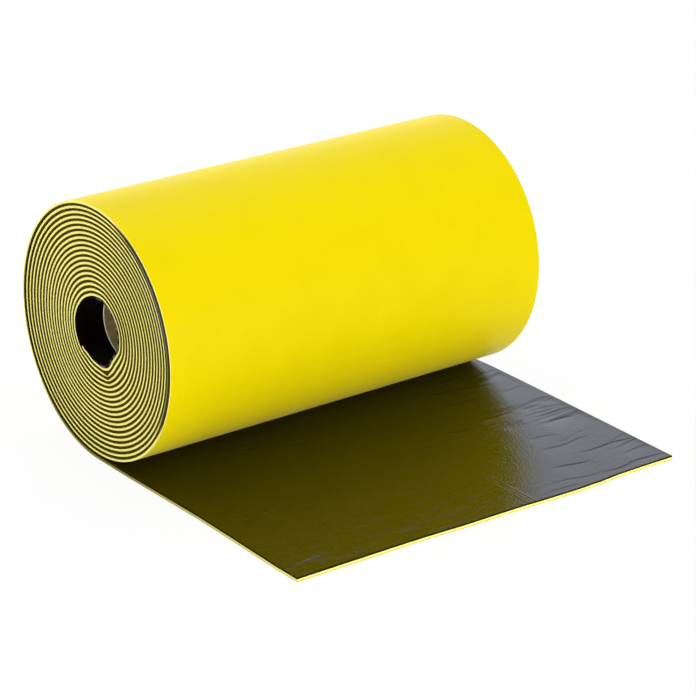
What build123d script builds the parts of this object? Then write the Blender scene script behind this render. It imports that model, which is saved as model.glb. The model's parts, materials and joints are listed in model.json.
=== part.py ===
"""Insulation roll: a two-layer sheet, yellow foam with a dark facing, wound on a cardboard core.

The roll lies on its own unrolled end. X runs along the roll's axis, Y to the back and Z up, and the
origin is on the floor, under the middle of the roll. Lengths are in millimetres.

The winding is turned from one section, which stands straight above the core and has a ridge for each
turn on both of its ends. It is turned half round to the back about one axis, and half round to the
front about a second axis, half a pitch higher. So at the bottom the front arrives a whole pitch
higher than the back, and every turn on the front runs on into the next turn on the back: a spiral.
"""

import os

from build123d import *

# The sheet: the foam is on the outside of the roll and under the tail.
roll_width = 500.0
foam_thickness = 3.4
facing_thickness = 2.0
winding_gap = 0.1
turn_count = 19
tail_length = 366.0

# The cardboard core, which stops short of the roll's ends.
core_inner_radius = 35.0
core_wall = 3.0
core_clearance = 0.3
core_recess = 35.0

# How far the middle of the foam's cut edge stands out from the middle of the facing's edge.
edge_crown = 2.1

# Radii and heights of the winding, worked out from the core outwards.
half_width = roll_width / 2
facing_space = facing_thickness + winding_gap
turn_pitch = foam_thickness + facing_space
half_pitch = turn_pitch / 2
wound_thickness = turn_count * turn_pitch
core_outer_radius = core_inner_radius + core_wall
core_length = roll_width - 2 * core_recess
bore_front_radius = core_outer_radius + core_clearance
bore_back_radius = bore_front_radius + half_pitch
outer_back_radius = bore_back_radius + wound_thickness
back_axis_height = outer_back_radius
front_axis_height = back_axis_height + half_pitch
top_height = back_axis_height + outer_back_radius

# On the ends, a ridge runs along the middle of the foam and a groove along the middle of the facing,
# half a pitch apart. The foam's corners lie on the slopes between them.
ridge_drop = foam_thickness / 2
groove_drop = ridge_drop + half_pitch
corner_x = half_width - edge_crown * ridge_drop / half_pitch
groove_x = half_width - edge_crown

back_axis = Axis((0, 0, back_axis_height), (-1, 0, 0))
front_axis = Axis((0, 0, front_axis_height), (1, 0, 0))
half_turn = 180


def section_points():
    """The section's outline from mid-width round one end: the outside, the turns' edges, the bore."""
    points = [(0, top_height), (corner_x, top_height)]
    for turn in range(turn_count):
        turn_top = top_height - turn * turn_pitch
        points.append((half_width, turn_top - ridge_drop))
        points.append((groove_x, turn_top - groove_drop))
    bore_top = top_height - wound_thickness
    return points + [(corner_x, bore_top), (0, bore_top)]


# The wound foam and the tail are one sheet. The tail runs out of the outermost turn along the floor,
# and the step that the spiral leaves in the bore is the sheet's inner end.
with BuildPart() as foam_sheet:
    with BuildSketch(Plane.XZ) as section:
        with BuildLine():
            Polyline(*section_points())
            mirror(about=Plane.YZ)
        make_face()
    revolve(axis=back_axis, revolution_arc=half_turn)
    revolve(section.sketch, axis=front_axis, revolution_arc=half_turn)
    with BuildSketch(Plane.XZ):
        with BuildLine():
            Polyline(
                (0, 0),
                (corner_x, 0),
                (half_width, ridge_drop),
                (corner_x, foam_thickness),
                (0, foam_thickness),
            )
            mirror(about=Plane.YZ)
        make_face()
    extrude(amount=tail_length)
foam_sheet.part.label = "foam_sheet"

# The facing is bonded on top of the tail, and ends where the roll comes down on it.
with BuildPart() as facing_layer:
    with BuildSketch(Plane.XY.offset(foam_thickness)):
        Rectangle(2 * corner_x, tail_length, align=(Align.CENTER, Align.MAX))
    extrude(amount=facing_thickness)
facing_layer.part.label = "facing_layer"

# The core lies on the axis of the front half, where the spiral's inner end closes in on it.
with BuildPart() as core_tube:
    with BuildSketch(Plane.YZ):
        with Locations((0, front_axis_height)):
            Circle(core_outer_radius)
            Circle(core_inner_radius, mode=Mode.SUBTRACT)
    extrude(amount=core_length / 2, both=True)
core_tube.part.label = "core_tube"

os.makedirs("parts", exist_ok=True)
export_step(foam_sheet.part, "parts/foam_sheet.step")
export_step(facing_layer.part, "parts/facing_layer.step")
export_step(core_tube.part, "parts/core_tube.step")
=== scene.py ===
"""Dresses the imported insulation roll: the wound two-layer sheet, its free end and the cardboard core.

Everything is in metres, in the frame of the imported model: X along the roll, Y to the back and Z up. The
sheet is followed from its free end along the floor, under the roll and round into the winding. On the
ends the inner turns sit off centre, because the outer turns are slack at the back, as in the photo.
"""

import json
import math

import bmesh
import bpy
import numpy as np
from mathutils import Matrix, Vector


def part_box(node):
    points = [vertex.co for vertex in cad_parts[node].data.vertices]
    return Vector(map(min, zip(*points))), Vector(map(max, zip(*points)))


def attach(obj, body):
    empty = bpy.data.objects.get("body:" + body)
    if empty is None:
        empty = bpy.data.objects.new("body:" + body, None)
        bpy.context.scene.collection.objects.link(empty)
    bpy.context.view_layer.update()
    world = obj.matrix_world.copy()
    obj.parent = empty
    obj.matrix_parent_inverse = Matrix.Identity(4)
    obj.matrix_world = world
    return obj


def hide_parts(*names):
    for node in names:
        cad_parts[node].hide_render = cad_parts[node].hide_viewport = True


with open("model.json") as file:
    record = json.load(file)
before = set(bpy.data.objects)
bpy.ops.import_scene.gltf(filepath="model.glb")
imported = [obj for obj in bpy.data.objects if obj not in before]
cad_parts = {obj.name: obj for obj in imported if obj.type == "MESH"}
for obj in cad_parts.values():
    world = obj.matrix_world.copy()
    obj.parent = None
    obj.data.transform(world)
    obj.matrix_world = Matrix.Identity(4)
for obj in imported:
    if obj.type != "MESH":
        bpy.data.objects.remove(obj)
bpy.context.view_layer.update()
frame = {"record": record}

mm = 0.001
full_turn = 2 * math.pi

# Sizes of the sheet, the winding and the core, read off the frame.
foam_low, foam_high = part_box("foam_sheet")
facing_low, facing_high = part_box("facing_layer")
core_low, core_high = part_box("core_tube")
mounts = {mount["name"]: mount for mount in frame["record"]["mounts"]}
half_width = foam_high.x
tail_length = -foam_low.y
foam_thickness = facing_low.z
facing_thickness = facing_high.z - facing_low.z
sheet_thickness = foam_thickness + facing_thickness
outer_radius = foam_high.z / 2
core_axis_height = (core_low.z + core_high.z) / 2
core_outer_radius = (core_high.z - core_low.z) / 2
core_inner_radius = mounts["core_bore"]["dims"]["r_mm"] * mm
core_half_length = core_high.x
core_recess = half_width - core_half_length
half_pitch = core_axis_height - outer_radius
turn_pitch = 2 * half_pitch
turn_count = round((outer_radius - half_pitch - core_outer_radius) / turn_pitch)

# The sheet runs on past the last whole turn. At the ends the inner turns sit off centre, to the front
# and up, and the shares say how much of that each turn takes, counted from the outside.
overrun = math.radians(52)
inner_end_angle = turn_count * full_turn + overrun
off_centre_y = -5.6 * mm
off_centre_z = 2.7 * mm
slack = 1.1 * mm
slack_turns = (0.8, 1.0, 1.3, 1.65, 2.1, 4.0, 7.0)
slack_shares = (0.0, 0.3, 0.3, 0.15, 0.47, 0.7, 1.0)
far_end_share = 0.5
turn_clearance = 0.05 * mm

# In the winding the foam is pressed thinner, most at the front, and the facing takes up the room. The
# onset is how fast that comes on where the free end runs into the roll, in shares to the turn.
foam_give = 0.5 * mm
front_give = 0.25 * mm
give_onset = 6

# The first turns on the core are dented at the near end: how far inwards they stand round the bore. Near
# the bottom they have a sharp kink, which pinches the foam, and the innermost turn lifts off the next there.
dent_turns = 5
dent_angles = np.radians((
    0, 20, 36, 48, 60, 75, 95, 126, 156, 180, 196, 230, 256, 284, 296, 311, 324, 340, 352))
dent_depths = np.array((
    1.8, 2.1, 1.8, -1.0, -1.6, -2.3, -2.2, 0.7, 1.5, 0.6,
    -1.1, -1.1, -2.2, -0.8, 2.3, 3.7, 1.2, -1.6, 0.6)) * mm
kink_angle = math.radians(340)
kink_spread = math.radians(5.5)
kink_give = 2.0 * mm
kink_lift = 1.3 * mm
innermost_start = turn_count - 0.5

# The free end wasn't cut quite square: how far its edges stand out from the straight, along the edges.
front_places = np.array((-250, -120, -90, -40, 30, 75, 110, 145, 170, 205, 250)) * mm
front_waves = np.array((-2.6, -1.2, -0.5, 2.0, 3.2, 5.5, 6.6, 6.3, 4.4, 4.3, 5.2)) * mm
side_places = np.array((0, 60, 120, 190, 250, 325, 366)) * mm
near_side_waves = np.array((0, 0.3, -0.4, -1.1, 0, 1.9, 1.8)) * mm
far_side_waves = np.array((0, 3.0, 2.7, 1.7, 0.6, -0.8, -1.4)) * mm

# Where painted light goes on the cut edges, as angles round the roll: painted reflection on the facing's,
# painted shade on the foam's.
reflection_angle = math.radians(238)
low_shade_angle = math.radians(15)
front_shade_angle = math.radians(252)

# The outermost turns at the front, where painted shade darkens the foam's cut edge: their outer radius, and
# between which depths the painted shade fades.
front_radius = outer_radius - half_pitch
full_shade_depth = 4.5 * mm
unshaded_depth = 9 * mm

# The core's board: how far its wrap runs along the tube in one turn, its seam, and its plies.
board_wrap = 190 * mm
seam_width = 1.2 * mm
board_ply = 0.5 * mm

# How finely the meshes are divided, and how round the edges of the layers and of the core's rims are. A
# layer's outline has four points round each cut edge, between its two long sides.
steps_per_turn = 80
tail_steps = 60
core_steps = 96
end_columns = np.array((1, 3, 7, 12, 18, 24, 30, 36)) * mm
edge_points = 4
foam_corner = 0.7 * mm
facing_corner = 0.3 * mm
facing_proud = 0.4 * mm
film_row_step = 0.95 * mm
film_column_step = 2.8 * mm
film_corner = 0.5 * mm
core_corner = 0.5 * mm
core_inner_corner = 1.1 * mm
corner_bend = 1 - math.sqrt(0.5)

# The film's relief on the free end, which is flat close to the roll and to the side edges. Its soft waves
# are given by their rise, length along the sheet, width across it, swing and phase.
film_seed = 11
film_waves = (
    (0.05 * mm, 17 * mm, 60 * mm, 1.5, 0),
    (0.08 * mm, 41 * mm, 95 * mm, 2.0, 1),
)
flat_by_roll = 40 * mm
flat_by_side = 6 * mm

# Its creases, which crowd to the far side and are weak on the near one: where they start, as a share of
# the free end, and the ranges that their sizes are drawn from, in millimetres.
crease_count = 78
crease_crowding = 1.5
crease_start = 0.12
crease_half_lengths = (12, 42)
crease_steep_widths = (1.6, 2.4)
crease_gentle_widths = (14, 22)
crease_tilt = 0.02
crease_tilt_spread = 0.1
crease_wanders = (0.5, 2)
crease_wander_length = 9 * mm
crease_falls = (0.25, 0.55)
weak_crease_share = 0.3
weak_crease_limit = 40 * mm
weak_crease_fade = 100 * mm

# Its low swells near the front edge, on the near side and lower towards the middle: where they start and
# how far across they reach, as shares, and the ranges that their sizes are drawn from, in millimetres.
swell_count = 90
swell_start = 0.74
swell_reach = 0.3
swell_half_lengths = (14, 34)
swell_widths = (3.5, 5)
swell_rises = (0.14, 0.26)
swell_loss = 0.65
swell_wander = 2 * mm
swell_wander_length = 13 * mm

# Its fine ridges along the sheet, and the mesh columns that hold each of them, in ridge widths.
ridge_places = np.array((46, 50, 55)) * mm
ridge_height = 0.15 * mm
ridge_width = 1.0 * mm
ridge_start = 0.65
ridge_fade = 60 * mm
ridge_columns = np.array((-1.6, -0.8, 0, 0.8, 1.6))

# Most of a noise lies between these two values.
noise_span = (0.3, 0.7)


def smooth(share):
    """Eases from 0 to 1."""
    share = np.clip(share, 0, 1)
    return share * share * (3 - 2 * share)


def wound(angle, depth, x):
    """(y, z) on the wound sheet. The angle is how far round it has come from the bottom of the roll, to
    the back first, and the depth is measured inwards from the foam's outer face."""
    laps = angle / full_turn
    lap = np.floor(laps)
    theta = angle - lap * full_turn
    at_back = theta < math.pi

    near_end = smooth((-x - core_half_length) / core_recess)
    far_end = smooth((x - core_half_length) / core_recess)
    shown = near_end + far_end_share * far_end
    share = np.interp(laps, slack_turns, slack_shares) * shown
    next_share = np.interp(laps + 1, slack_turns, slack_shares) * shown
    inward = slack - off_centre_y * np.sin(theta) + off_centre_z * np.cos(theta)
    room = turn_pitch + inward * (next_share - share) - turn_clearance
    squeeze = np.minimum(1, room / sheet_thickness)

    inner = smooth((laps - turn_count + dent_turns) / dent_turns) * near_end
    innermost = laps > innermost_start
    kink = inner * np.exp(-((theta - kink_angle) / kink_spread) ** 2)
    dent = inner * np.interp(theta, dent_angles, dent_depths, period=full_turn)
    dent = dent + kink_lift * kink * innermost

    pinch = np.minimum(depth / foam_thickness, (sheet_thickness - depth) / facing_thickness)
    give = foam_give - front_give * np.sin(theta) + kink_give * kink * ~innermost
    depth = depth - give * pinch * smooth(give_onset * laps)
    start_radius = np.where(at_back, outer_radius, outer_radius - half_pitch)
    radius = start_radius - lap * turn_pitch - depth * squeeze - slack * share - dent
    axis_height = np.where(at_back, outer_radius, core_axis_height)
    y = radius * np.sin(theta) + off_centre_y * share
    z = axis_height - radius * np.cos(theta) + off_centre_z * share
    return y, z


def laid(reach, across):
    """(x, y) on the free end. Reach is 0 under the roll and 1 at the front edge, across -1 to 1."""
    front_wave = np.interp(across * half_width, front_places, front_waves)
    out = reach * (tail_length + reach * front_wave)
    near_wave = np.interp(out, side_places, near_side_waves)
    far_wave = np.interp(out, side_places, far_side_waves)
    wave = np.where(across < 0, near_wave, far_wave)
    return across * (half_width + np.abs(across) * wave), -out


def layer_ring(low, high, corner, edge, between=()):
    """A layer's outline across the sheet: places across, depths, and which runs are cut edge. It has columns
    near the side edges, and at the places between them that are given."""
    columns = np.concatenate([[corner], end_columns])
    right = edge - columns[::-1]
    across = np.concatenate([-right[::-1], between, right])
    count = len(across)
    bend = corner * corner_bend
    edge_across = np.array((edge - bend, edge, edge, edge - bend))
    edge_depth = np.array((low + bend, low + corner, high - corner, high - bend))
    places = np.concatenate([across, edge_across, across[::-1], -edge_across[::-1]])
    depths = np.concatenate([np.full(count, low), edge_depth, np.full(count, high), edge_depth[::-1]])
    cut = np.ones(len(places), int)
    cut[:count - 1] = 0
    cut[count + edge_points:2 * count + edge_points - 1] = 0
    return places, depths, cut


def wound_rings(angles, places, depths):
    """A layer's outline carried round the winding: stations by outline points by xyz."""
    x = np.broadcast_to(places, (len(angles), len(places)))
    y, z = wound(angles[:, None], depths[None, :], x)
    return np.stack([x, y, z], axis=2)


def ring_caps(size):
    """Faces that close a layer's end, between the two long sides of an outline with so many points."""
    count = size // 2 - edge_points
    back = 2 * count + edge_points - 1
    faces = [(k, k + 1, back - k - 1, back - k) for k in range(count - 1)]
    faces.append(tuple(range(count - 1, count + edge_points + 1)))
    faces.append((0, *range(back, size)))
    return faces


def mesh_object(name, points, faces, face_slots, materials, sharp_angle=50):
    """A smooth-shaded mesh with sharp edges over the angle, on the roll's body."""
    mesh = bpy.data.meshes.new(name)
    mesh.from_pydata(points.tolist(), [], faces)
    for each in materials:
        mesh.materials.append(each)
    mesh.polygons.foreach_set("material_index", face_slots)
    work = bmesh.new()
    work.from_mesh(mesh)
    bmesh.ops.recalc_face_normals(work, faces=work.faces)
    work.to_mesh(mesh)
    work.free()
    mesh.polygons.foreach_set("use_smooth", [True] * len(mesh.polygons))
    mesh.set_sharp_from_angle(angle=math.radians(sharp_angle))
    made = bpy.data.objects.new(name, mesh)
    bpy.context.scene.collection.objects.link(made)
    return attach(made, "root")


def strip_object(name, rings, cut, materials, frayed_from=None):
    """A layer swept along its length: rings is an array of stations by outline points by xyz. From the
    station frayed_from on, its cut edges take the third material."""
    stations, size = rings.shape[:2]
    faces = []
    slots = []
    for station in range(stations - 1):
        here, there = station * size, (station + 1) * size
        for k in range(size):
            after = (k + 1) % size
            faces.append((here + k, here + after, there + after, there + k))
        frayed = frayed_from is not None and station >= frayed_from
        slots.extend((2 * cut if frayed else cut).tolist())
    last = (stations - 1) * size
    for start in (0, last):
        caps = [tuple(start + k for k in cap) for cap in ring_caps(size)]
        faces.extend(caps)
        slots.extend([1] * len(caps))
    return mesh_object(name, rings.reshape(-1, 3), faces, slots, materials)


def crease(x, y, dice):
    """How deep one crease across the sheet is: steep towards the roll, gentle away from it."""
    centre_x = half_width * (1 - 2 * dice.random() ** crease_crowding)
    centre_y = dice.uniform(-tail_length, -crease_start * tail_length)
    half_length = dice.uniform(*crease_half_lengths) * mm
    steep_width = dice.uniform(*crease_steep_widths) * mm
    gentle_width = dice.uniform(*crease_gentle_widths) * mm
    tilt = dice.normal(crease_tilt, crease_tilt_spread)
    wander = dice.uniform(*crease_wanders) * mm
    phase = dice.uniform(0, full_turn)
    fall = dice.uniform(*crease_falls) * mm
    aside = x - centre_x
    line = centre_y + tilt * aside + wander * np.sin(phase + aside / crease_wander_length)
    steep_side = 1 - smooth((y - line) / steep_width)
    gentle_side = np.exp(np.minimum(y - line, 0) / gentle_width)
    to_far_side = smooth((x - weak_crease_limit) / weak_crease_fade)
    weight = weak_crease_share + (1 - weak_crease_share) * to_far_side
    return weight * fall * steep_side * gentle_side * np.exp(-(aside / half_length) ** 4)


def swell(x, y, dice):
    """How high one low swell near the front edge is."""
    centre_x = dice.uniform(-half_width, swell_reach * half_width)
    centre_y = dice.uniform(-tail_length, -swell_start * tail_length)
    half_length = dice.uniform(*swell_half_lengths) * mm
    width = dice.uniform(*swell_widths) * mm
    rise = dice.uniform(*swell_rises) * mm
    rise *= 1 - swell_loss * smooth((centre_x + half_width) / half_width)
    aside = x - centre_x
    line = centre_y + swell_wander * np.sin(aside / swell_wander_length)
    return rise * np.exp(-((y - line) / width) ** 2 - (aside / half_length) ** 2)


def film_heights(x, y):
    """Heights of the film over the flat: soft waves, creases, swells and ridges."""
    dice = np.random.default_rng(film_seed)
    height = np.zeros_like(x)
    for rise, length, width, swing, phase in film_waves:
        height += rise * np.sin(y / length + swing * np.sin(x / width + phase))
    for _ in range(crease_count):
        height -= crease(x, y, dice)
    for _ in range(swell_count):
        height += swell(x, y, dice)
    for place in ridge_places:
        ridge = ridge_height * np.exp(-((x - place) / ridge_width) ** 2)
        height += ridge * smooth((-y - ridge_start * tail_length) / ridge_fade)
    return height * smooth(-y / flat_by_roll) * smooth((half_width - np.abs(x)) / flat_by_side)


def film_mesh():
    """Points, faces and material slots of the facing on the free end: a fine grid that holds the creases,
    and a rim that goes over the rounded edge and down to the foam."""
    rows = round(tail_length / film_row_step)
    columns = round(2 * half_width / film_column_step)
    reach = np.linspace(0, 1 - film_corner / tail_length, rows + 1)[:, None]
    across = np.linspace(-1, 1, columns + 1) * (1 - film_corner / half_width)
    by_ridges = np.add.outer(ridge_places, ridge_columns * ridge_width) / half_width
    across = np.sort(np.concatenate([across, by_ridges.ravel()]))[None, :]
    row_size = across.size
    columns = row_size - 1
    x, y = laid(reach, across)
    top = np.stack([x, y, sheet_thickness + film_heights(x, y)], axis=2)
    faces = []
    for row in range(rows):
        for column in range(columns):
            corner = row * row_size + column
            faces.append((corner, corner + 1, corner + 1 + row_size, corner + row_size))
    slots = [0] * len(faces)

    rim = [(0, k) for k in range(row_size)]
    rim += [(k, columns) for k in range(1, rows + 1)]
    rim += [(rows, k) for k in range(columns - 1, -1, -1)]
    rim += [(k, 0) for k in range(rows - 1, 0, -1)]
    rim_rows, rim_columns = np.array(rim).T
    rim_reach = np.where(rim_rows == rows, 1.0, reach[rim_rows, 0])
    rim_across = across[0, rim_columns]
    rim_across = np.where(np.isin(rim_columns, (0, columns)), np.sign(rim_across), rim_across)
    x, y = laid(rim_reach, rim_across)
    loops = [[row * row_size + column for row, column in rim]]
    sides = []
    for level in (sheet_thickness - film_corner, foam_thickness):
        start = (rows + 1) * row_size + len(sides) * len(rim)
        loops.append(range(start, start + len(rim)))
        sides.append(np.stack([x, y, np.full(len(rim), level)], axis=1))
    for upper, lower in zip(loops, loops[1:]):
        for k in range(len(rim)):
            after = (k + 1) % len(rim)
            faces.append((upper[k], upper[after], lower[after], lower[k]))
    faces.append(tuple(loops[-1]))
    slots += [1] * (len(faces) - len(slots))
    return np.concatenate([top.reshape(-1, 3), *sides]), faces, slots


def core_mesh():
    """Points, faces and material slots of the core: a tube with worn rims. Its outline starts at the bore's
    wall, goes round one rim, back along the outside and round the other rim."""
    bend = core_corner * corner_bend
    inner_bend = core_inner_corner * corner_bend
    rim = [
        (core_half_length - core_inner_corner, core_inner_radius),
        (core_half_length - inner_bend, core_inner_radius + inner_bend),
        (core_half_length, core_inner_radius + core_inner_corner),
        (core_half_length, core_outer_radius - core_corner),
        (core_half_length - bend, core_outer_radius - bend),
        (core_half_length - core_corner, core_outer_radius),
    ]
    outline = np.array(rim + [(-x, radius) for x, radius in reversed(rim)])
    cut_runs = (2, 3, 4, 6, 7, 8)
    size = len(outline)
    turn = np.linspace(0, full_turn, core_steps, endpoint=False)[:, None]
    y = outline[:, 1] * np.sin(turn)
    z = core_axis_height - outline[:, 1] * np.cos(turn)
    points = np.stack([np.broadcast_to(outline[:, 0], y.shape), y, z], axis=2)
    faces = []
    slots = []
    for step in range(core_steps):
        here, there = step * size, (step + 1) % core_steps * size
        for k in range(size):
            after = (k + 1) % size
            faces.append((here + k, here + after, there + after, there + k))
            slots.append(1 if k in cut_runs else 0)
    return points.reshape(-1, 3), faces, slots


def node(tree, kind, **values):
    """A shader node with some of its properties and inputs set. Spaces in an input's name are given as _."""
    made = tree.nodes.new(kind)
    for key, value in values.items():
        if hasattr(made, key):
            setattr(made, key, value)
        else:
            made.inputs[key.replace("_", " ")].default_value = value
    return made


def new_material(name, **values):
    """A node material, its tree, its Principled shader and its object coordinates."""
    made = bpy.data.materials.new(name)
    made.use_nodes = True
    tree = made.node_tree
    shader = tree.nodes["Principled BSDF"]
    for key, value in values.items():
        shader.inputs[key.replace("_", " ")].default_value = value
    coordinates = tree.nodes.new("ShaderNodeTexCoord").outputs["Object"]
    return made, tree, shader, coordinates


def noise(tree, where, per_metre, detail=2.0, stretch=(1, 1, 1)):
    """Noise with so many features to the metre, from 0 to 1."""
    mapping = node(tree, "ShaderNodeMapping", Scale=stretch)
    tree.links.new(where, mapping.inputs["Vector"])
    texture = node(tree, "ShaderNodeTexNoise", Scale=per_metre, Detail=detail)
    tree.links.new(mapping.outputs["Vector"], texture.inputs["Vector"])
    return texture.outputs["Fac"]


def ramp(tree, factor, low, high, low_value=0, high_value=1):
    """Maps the factor from low..high to low_value..high_value, clamped."""
    made = node(tree, "ShaderNodeMapRange", From_Min=low, From_Max=high, To_Min=low_value, To_Max=high_value)
    tree.links.new(factor, made.inputs["Value"])
    return made.outputs["Result"]


def blend(tree, factor, first, second):
    """Mixes two colours, each given as a colour or as a socket."""
    made = node(tree, "ShaderNodeMix", data_type="RGBA")
    tree.links.new(factor, made.inputs["Factor"])
    for name, colour in (("A", first), ("B", second)):
        socket = next(s for s in made.inputs if s.name == name and s.type == "RGBA")
        if isinstance(colour, tuple):
            socket.default_value = (*colour, 1)
        else:
            tree.links.new(colour, socket)
    return next(s for s in made.outputs if s.type == "RGBA")


def bump(tree, shader, height, distance, strength, under=None):
    """Adds a bump to the shader's normal, on top of another bump's normal if one is given."""
    made = node(tree, "ShaderNodeBump", Distance=distance, Strength=strength)
    tree.links.new(height, made.inputs["Height"])
    if under:
        tree.links.new(under, made.inputs["Normal"])
    tree.links.new(made.outputs["Normal"], shader.inputs["Normal"])
    return made.outputs["Normal"]


def calculate(tree, operation, first, second=0):
    """A sum on one or two values, each given as a number or as a socket."""
    made = node(tree, "ShaderNodeMath", operation=operation)
    for place, value in enumerate((first, second)):
        if isinstance(value, bpy.types.NodeSocket):
            tree.links.new(value, made.inputs[place])
        else:
            made.inputs[place].default_value = value
    return made.outputs["Value"]


def product(tree, first, *others):
    """Several values multiplied, each given as a number or as a socket."""
    for other in others:
        first = calculate(tree, "MULTIPLY", first, other)
    return first


def axes(tree, where):
    """The x, y and z of a place."""
    parts = node(tree, "ShaderNodeSeparateXYZ")
    tree.links.new(where, parts.inputs["Vector"])
    return parts.outputs["X"], parts.outputs["Y"], parts.outputs["Z"]


def off_axis(tree, where, axis_height):
    """How far a place lies from an axis along the roll at a height."""
    _, y, z = axes(tree, where)
    height = calculate(tree, "SUBTRACT", z, axis_height)
    squares = [calculate(tree, "POWER", side, 2) for side in (y, height)]
    return calculate(tree, "SQRT", calculate(tree, "ADD", *squares))


def towards(tree, where, angle):
    """How far a place lies from the core's axis in the direction of an angle round the roll, as a share of
    the roll's radius."""
    aside = node(tree, "ShaderNodeVectorMath", operation="DOT_PRODUCT")
    aside.inputs[1].default_value = (0, math.sin(angle), -math.cos(angle))
    tree.links.new(where, aside.inputs[0])
    aside = calculate(tree, "ADD", aside.outputs["Value"], math.cos(angle) * core_axis_height)
    return calculate(tree, "DIVIDE", aside, outer_radius)


def foam_skin():
    """The foam's closed yellow skin: faint mottling, and pale streaks round the roll."""
    deep_yellow, yellow, pale_yellow = (0.85, 0.68, 0.0), (0.88, 0.707, 0.0005), (0.95, 0.82, 0.05)
    made, tree, shader, where = new_material("foam_skin", IOR=1.115, Sheen_Weight=0.1, Sheen_Roughness=0.3)
    mottle = noise(tree, where, per_metre=22, detail=4.0)
    streak = noise(tree, where, per_metre=3, detail=3.0, stretch=(90, 1, 1))
    colour = blend(tree, ramp(tree, mottle, *noise_span), deep_yellow, yellow)
    colour = blend(tree, ramp(tree, streak, low=0.62, high=0.8, high_value=0.15), colour, pale_yellow)
    roughness = ramp(tree, mottle, *noise_span, low_value=0.34, high_value=0.44)
    tree.links.new(colour, shader.inputs["Base Color"])
    tree.links.new(roughness, shader.inputs["Roughness"])
    coarse = bump(tree, shader, noise(tree, where, per_metre=240), distance=0.3 * mm, strength=0.25)
    bump(tree, shader, noise(tree, where, per_metre=1400), distance=0.1 * mm, strength=0.3, under=coarse)
    return made


def foam_cut():
    """The foam where it is cut: paler, matt, with fine cells. On the free end it has a line of painted shade
    low on its cut edge, and on the near side painted shade darkens it there, towards the roll, and low at
    the back. Painted shade darkens the outermost turns at the front."""
    deep_cells, pale_cells = (0.89, 0.82, 0.19), (1.0, 0.935, 0.33)
    # The second row of colours is all painted shade.
    painted_shade_line, painted_shade_brown, front_shade_grey = (0.40, 0.31, 0.03), (0.26, 0.21, 0.035), (0.064, 0.052, 0.040)
    made, tree, shader, where = new_material("foam_cut", Roughness=0.85, Specular_IOR_Level=0.2)
    x, y, z = axes(tree, where)
    cells = noise(tree, where, per_metre=1300, detail=3.0)
    colour = blend(tree, ramp(tree, cells, *noise_span), deep_cells, pale_cells)

    height = calculate(tree, "DIVIDE", z, foam_thickness)
    # Painted shade: an olive line low along the cut edge, where the edge's lower corner is in shadow.
    over_line = ramp(tree, height, low=0.30, high=0.45, low_value=1, high_value=0)
    under_line = ramp(tree, height, low=0.12, high=0.24, high_value=0.7)
    colour = blend(tree, product(tree, over_line, under_line), colour, painted_shade_line)

    # Painted shade: the near side's cut edge on the free end darkens towards the roll, where it lies in
    # shade.
    near_side = ramp(tree, calculate(tree, "DIVIDE", x, -half_width), low=0.96, high=0.98)
    on_free_end = ramp(tree, height, low=1, high=1.2, low_value=1, high_value=0)
    reach = calculate(tree, "DIVIDE", y, -tail_length)
    to_roll = ramp(tree, reach, low=1, high=0.1, low_value=0.1, high_value=0.9)
    colour = blend(tree, product(tree, on_free_end, near_side, to_roll), colour, painted_shade_brown)

    # Painted shade: the outermost turn's cut foam darkens low at the back, where the slack turns leave a
    # shaded gap.
    skin_depth = calculate(tree, "SUBTRACT", outer_radius, off_axis(tree, where, outer_radius))
    outermost = ramp(tree, skin_depth, low=1.1 * foam_thickness, high=foam_thickness)
    low_back = ramp(tree, towards(tree, where, low_shade_angle), low=0.77, high=0.94, high_value=0.9)
    colour = blend(tree, product(tree, outermost, near_side, low_back), colour, painted_shade_brown)

    # Painted shade: the outer turns' cut foam darkens to grey at the front, fading inwards.
    skin_depth = calculate(tree, "SUBTRACT", front_radius, off_axis(tree, where, core_axis_height))
    outermost = ramp(tree, skin_depth, low=unshaded_depth, high=full_shade_depth)
    under_corner = ramp(tree, skin_depth, low=foam_corner / 2, high=foam_corner)
    to_front = ramp(tree, towards(tree, where, front_shade_angle), low=0.55, high=0.70)
    colour = blend(tree, product(tree, outermost, under_corner, to_front), colour, front_shade_grey)
    tree.links.new(colour, shader.inputs["Base Color"])
    bump(tree, shader, cells, distance=0.3 * mm, strength=0.5)
    return made


def facing_film():
    """The facing's dark, glossy film, with a fine grain that breaks up what it mirrors, and dull scuffs near
    the front edge."""
    black, soft_black, scuffed = (0.003, 0.002, 0.0008), (0.005, 0.0035, 0.0015), (0.008, 0.007, 0.016)
    scuff_roughness = 0.18
    made, tree, shader, where = new_material("facing_film", IOR=1.48, Specular_Tint=(0.9, 0.95, 1, 1))
    _, y, _ = axes(tree, where)
    patches = noise(tree, where, per_metre=30, detail=4.0)
    colour = blend(tree, ramp(tree, patches, low=0.35, high=0.7), black, soft_black)
    reach = calculate(tree, "DIVIDE", y, -tail_length)
    near_edge = ramp(tree, reach, low=0.70, high=0.92, high_value=0.6)
    rubbed = noise(tree, where, per_metre=32, detail=3.0, stretch=(1, 2.6, 1))
    scuffs = product(tree, near_edge, ramp(tree, rubbed, low=0.52, high=0.68))
    colour = blend(tree, scuffs, colour, scuffed)
    roughness = ramp(tree, patches, *noise_span, low_value=0.035, high_value=0.07)
    roughness = calculate(tree, "ADD", roughness, product(tree, scuffs, scuff_roughness))
    tree.links.new(colour, shader.inputs["Base Color"])
    tree.links.new(roughness, shader.inputs["Roughness"])
    grain = noise(tree, where, per_metre=680, stretch=(1, 0.5, 1))
    bump(tree, shader, grain, distance=0.32 * mm, strength=1.0)
    return made


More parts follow.
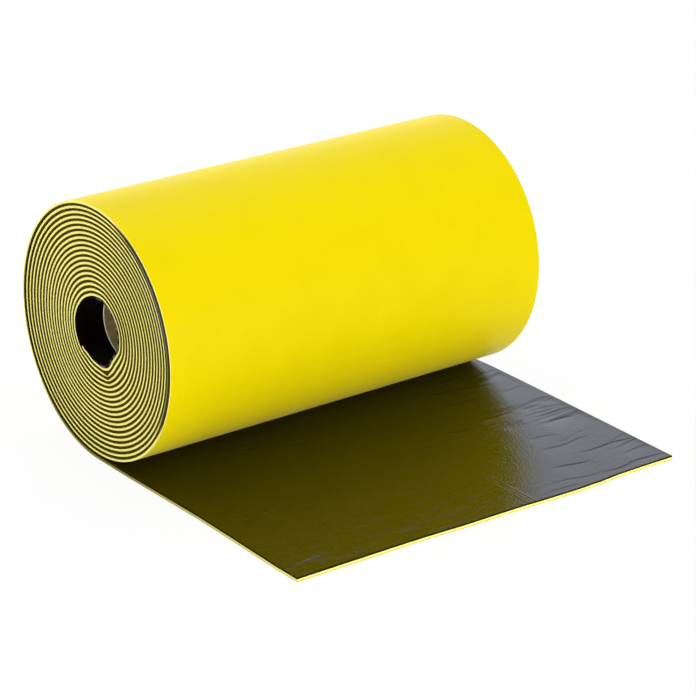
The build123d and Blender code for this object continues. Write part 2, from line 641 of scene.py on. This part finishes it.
def facing_inside():
    """The facing between the turns and in the bore: black, with little gloss."""
    black, soft_black = (0.003, 0.0015, 0.001), (0.006, 0.003, 0.002)
    made, tree, shader, where = new_material("facing_inside", IOR=1.12)
    rub = noise(tree, where, per_metre=60, detail=4.0)
    colour = blend(tree, ramp(tree, rub, low=0.35, high=0.7), black, soft_black)
    roughness = ramp(tree, rub, *noise_span, low_value=0.4, high_value=0.55)
    tree.links.new(colour, shader.inputs["Base Color"])
    tree.links.new(roughness, shader.inputs["Roughness"])
    bump(tree, shader, rub, distance=0.3 * mm, strength=0.2)
    return made


def gritty_edge(name, dark, light):
    """A material for the facing where it is cut, dull and dark, with a fine grit and a few pale nicks. Gives
    its tree, its shader, its object coordinates and its colour as well."""
    nicked = (0.45, 0.45, 0.40)
    made, tree, shader, where = new_material(name, Roughness=0.6, Specular_IOR_Level=0.0)
    grit = noise(tree, where, per_metre=900, detail=3.0)
    colour = blend(tree, ramp(tree, grit, *noise_span), dark, light)
    nicks = noise(tree, where, per_metre=260)
    colour = blend(tree, ramp(tree, nicks, low=0.70, high=0.76, high_value=0.7), colour, nicked)
    tree.links.new(colour, shader.inputs["Base Color"])
    bump(tree, shader, grit, distance=0.2 * mm, strength=0.4)
    return made, tree, shader, where, colour


def facing_edge():
    """The facing's cut edge on the free end."""
    return gritty_edge("facing_edge", dark=(0.020, 0.016, 0.0003), light=(0.038, 0.030, 0.0005))[0]


def painted_reflection_edge():
    """The facing's cut edge on the winding: dark, with an olive tint that is painted reflection of the
    yellow foam beside it, and greyed at the front by painted reflection.
    """
    grey = (0.070, 0.062, 0.056)
    # Painted reflection in part: the edge's olive tint stands for the yellow foam mirrored beside it.
    made, tree, shader, where, colour = gritty_edge(
        "painted_reflection_edge", dark=(0.044, 0.035, 0.0003), light=(0.078, 0.062, 0.0005))
    # Painted reflection: the cut edges grey towards the front, where glossy edges mirror the bright studio.
    reflection_share = ramp(tree, towards(tree, where, reflection_angle), low=0.80, high=0.97)
    tree.links.new(blend(tree, reflection_share, colour, grey), shader.inputs["Base Color"])
    return made


def frayed_edge():
    """The facing's cut edge on the innermost turn: black, and frayed grey at the front."""
    black, grey = (0.006, 0.005, 0.003), (0.14, 0.13, 0.13)
    made, tree, shader, where = new_material("frayed_edge", Roughness=0.7, Specular_IOR_Level=0.0)
    _, y, _ = axes(tree, where)
    to_front = ramp(tree, calculate(tree, "DIVIDE", y, -core_outer_radius), low=-0.1, high=0.4)
    frays = ramp(tree, noise(tree, where, per_metre=200, detail=3.0), low=0.42, high=0.62)
    colour = blend(tree, product(tree, to_front, frays), black, grey)
    tree.links.new(colour, shader.inputs["Base Color"])
    bump(tree, shader, frays, distance=0.2 * mm, strength=0.4)
    return made


def cardboard():
    """Spiral-wound board: fibres, and the seam between two wraps winding along the tube."""
    brown, pale_brown, seam_brown = (0.25, 0.18, 0.06), (0.37, 0.28, 0.11), (0.14, 0.10, 0.05)
    made, tree, shader, where = new_material("cardboard", Roughness=0.85, Specular_IOR_Level=0.25)
    x, y, z = axes(tree, where)
    fibres = noise(tree, where, per_metre=160, detail=4.0, stretch=(0.35, 1, 1))
    colour = blend(tree, ramp(tree, fibres, *noise_span), brown, pale_brown)
    height = calculate(tree, "SUBTRACT", z, core_axis_height)
    round_share = calculate(tree, "DIVIDE", calculate(tree, "ARCTAN2", y, height), full_turn)
    along_share = calculate(tree, "DIVIDE", x, board_wrap)
    wrap = calculate(tree, "FRACT", calculate(tree, "ADD", round_share, along_share))
    seam = ramp(tree, wrap, low=0, high=seam_width / board_wrap, low_value=1, high_value=0)
    tree.links.new(blend(tree, seam, colour, seam_brown), shader.inputs["Base Color"])
    bump(tree, shader, calculate(tree, "SUBTRACT", fibres, seam), distance=0.3 * mm, strength=0.4)
    return made


def board_edge():
    """The board where it is cut: pale, with the plies as rings."""
    grey_ply, pale_ply, worn_ply = (0.84, 0.82, 0.76), (0.96, 0.95, 0.91), (0.95, 0.93, 0.89)
    made, tree, shader, where = new_material("board_edge", Roughness=0.9, Specular_IOR_Level=0.2)
    ply = calculate(tree, "PINGPONG", off_axis(tree, where, core_axis_height), board_ply)
    colour = blend(tree, ramp(tree, ply, low=0, high=board_ply), grey_ply, pale_ply)
    wear = noise(tree, where, per_metre=300, detail=3.0)
    colour = blend(tree, ramp(tree, wear, low=0.45, high=0.75, high_value=0.6), colour, worn_ply)
    tree.links.new(colour, shader.inputs["Base Color"])
    bump(tree, shader, wear, distance=0.2 * mm, strength=0.4)
    return made


# The foam layer: the free end, then the winding, as one strip. On the free end its columns follow the
# uneven cut of the front edge.
angles = np.linspace(0, inner_end_angle, round(inner_end_angle / full_turn * steps_per_turn) + 1)
places, depths, cut = layer_ring(0, foam_thickness, foam_corner, half_width, between=front_places[1:-1])
reach = np.linspace(1, 0, tail_steps + 1)[:-1, None]
x, y = laid(reach, places[None, :] / half_width)
tail_rings = np.stack([x, y, np.broadcast_to(depths, x.shape)], axis=2)
rings = np.concatenate([tail_rings, wound_rings(angles, places, depths)])
foam = strip_object("foam", rings, cut, (foam_skin(), foam_cut()))
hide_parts("foam_sheet")

# The facing between the turns, frayed on the innermost one.
places, depths, cut = layer_ring(foam_thickness, sheet_thickness, facing_corner, half_width + facing_proud)
rings = wound_rings(angles, places, depths)
last_turn = np.searchsorted(angles, inner_end_angle - full_turn)
materials = (facing_inside(), painted_reflection_edge(), frayed_edge())
facing_turns = strip_object("facing_turns", rings, cut, materials, frayed_from=last_turn)
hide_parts("foam_sheet")

# The facing on the free end.
facing_tail = mesh_object("facing_tail", *film_mesh(), (facing_film(), facing_edge()), sharp_angle=35)
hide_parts("facing_layer")

# The core.
core = mesh_object("core", *core_mesh(), (cardboard(), board_edge()))
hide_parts("core_tube")


def seen_directly(tree):
    """1 for camera, glossy and transmission rays, else 0."""
    rays = tree.nodes.new("ShaderNodeLightPath")
    either = calculate(tree, "MAXIMUM", rays.outputs["Is Camera Ray"], rays.outputs["Is Glossy Ray"])
    return calculate(tree, "MAXIMUM", either, rays.outputs["Is Transmission Ray"])


# The floor is white to the camera and in reflections, and keeps a trace of the shadow.
floor_size = 12.0
floor_drop = 0.2 * mm
floor_shadow_share = 0.08
floor_mesh = bpy.data.meshes.new("floor")
corners = [(-floor_size, -floor_size, 0), (floor_size, -floor_size, 0),
           (floor_size, floor_size, 0), (-floor_size, floor_size, 0)]
floor_mesh.from_pydata(corners, [], [(0, 1, 2, 3)])
floor = bpy.data.objects.new("floor", floor_mesh)
floor.location.z = -floor_drop
bpy.context.scene.collection.objects.link(floor)

floor_material, tree, shader, _ = new_material(
    "floor", Base_Color=(0.97, 0.97, 0.97, 1), Roughness=0.9, Specular_IOR_Level=0.1)
glow = node(tree, "ShaderNodeEmission", Color=(1, 1, 1, 1), Strength=1.0)
mix = tree.nodes.new("ShaderNodeMixShader")
glow_share = ramp(tree, seen_directly(tree), low=0, high=1, high_value=1 - floor_shadow_share)
tree.links.new(glow_share, mix.inputs["Fac"])
tree.links.new(shader.outputs["BSDF"], mix.inputs[1])
tree.links.new(glow.outputs["Emission"], mix.inputs[2])
tree.links.new(mix.outputs["Shader"], tree.nodes["Material Output"].inputs["Surface"])
floor_mesh.materials.append(floor_material)

# The world: white where it is seen, softer as light.
sky_light = 0.37
world = bpy.data.worlds.new("studio")
bpy.context.scene.world = world
world.use_nodes = True
tree = world.node_tree
background = tree.nodes["Background"]
background.inputs["Color"].default_value = (1, 1, 1, 1)
brightness = ramp(tree, seen_directly(tree), low=0, high=1, low_value=sky_light, high_value=1.0)
tree.links.new(brightness, background.inputs["Strength"])


def softbox(name, place, size, watts, colour=(1, 1, 1)):
    """A square area lamp that faces the middle of the roll."""
    lamp = bpy.data.lights.new(name, "AREA")
    lamp.shape = "SQUARE"
    lamp.size = size
    lamp.energy = watts
    lamp.color = colour
    made = bpy.data.objects.new(name, lamp)
    made.location = place
    to_roll = Vector((0, 0, core_axis_height)) - Vector(place)
    made.rotation_euler = to_roll.to_track_quat("-Z", "Y").to_euler()
    bpy.context.scene.collection.objects.link(made)


softbox("side_light", place=(-2.5, -0.6, 0.4), size=1.2, watts=26)
softbox("top_light", place=(0.2, 0.7, 2.35), size=1.8, watts=34)
softbox("front_light", place=(0.3, -2.3, 0.25), size=0.5, watts=23)
softbox("rear_light", place=(-0.6, 2.5, 0.6), size=1.2, watts=18)
softbox("far_light", place=(2.5, 0.3, 0.5), size=1.2, watts=14)
softbox("back_light", place=(1.7, 2.3, 1.3), size=2.2, watts=8, colour=(0.62, 0.75, 1))

# The camera, fitted to the outlines in the photo.
camera_azimuth = math.radians(-37.613)
camera_elevation = math.radians(22.420)
camera_roll = math.radians(-0.440)
camera_place = (-1.7967, -2.4484, 1.3222)
photo_size = 696
focal_pixels = 2931.2
back = Vector((math.sin(camera_azimuth) * math.cos(camera_elevation),
               -math.cos(camera_azimuth) * math.cos(camera_elevation), math.sin(camera_elevation)))
level_right = (-back).cross(Vector((0, 0, 1))).normalized()
level_up = back.cross(level_right)
right = math.cos(camera_roll) * level_right - math.sin(camera_roll) * level_up
up = math.sin(camera_roll) * level_right + math.cos(camera_roll) * level_up
camera_data = bpy.data.cameras.new("camera")
camera_data.sensor_width = 36
camera_data.lens = focal_pixels / photo_size * camera_data.sensor_width
camera_data.clip_end = 100
camera = bpy.data.objects.new("camera", camera_data)
camera.matrix_world = Matrix.Translation(camera_place) @ Matrix((right, up, back)).transposed().to_4x4()
bpy.context.scene.collection.objects.link(camera)
bpy.context.scene.camera = camera
bpy.context.scene.view_settings.view_transform = "Standard"
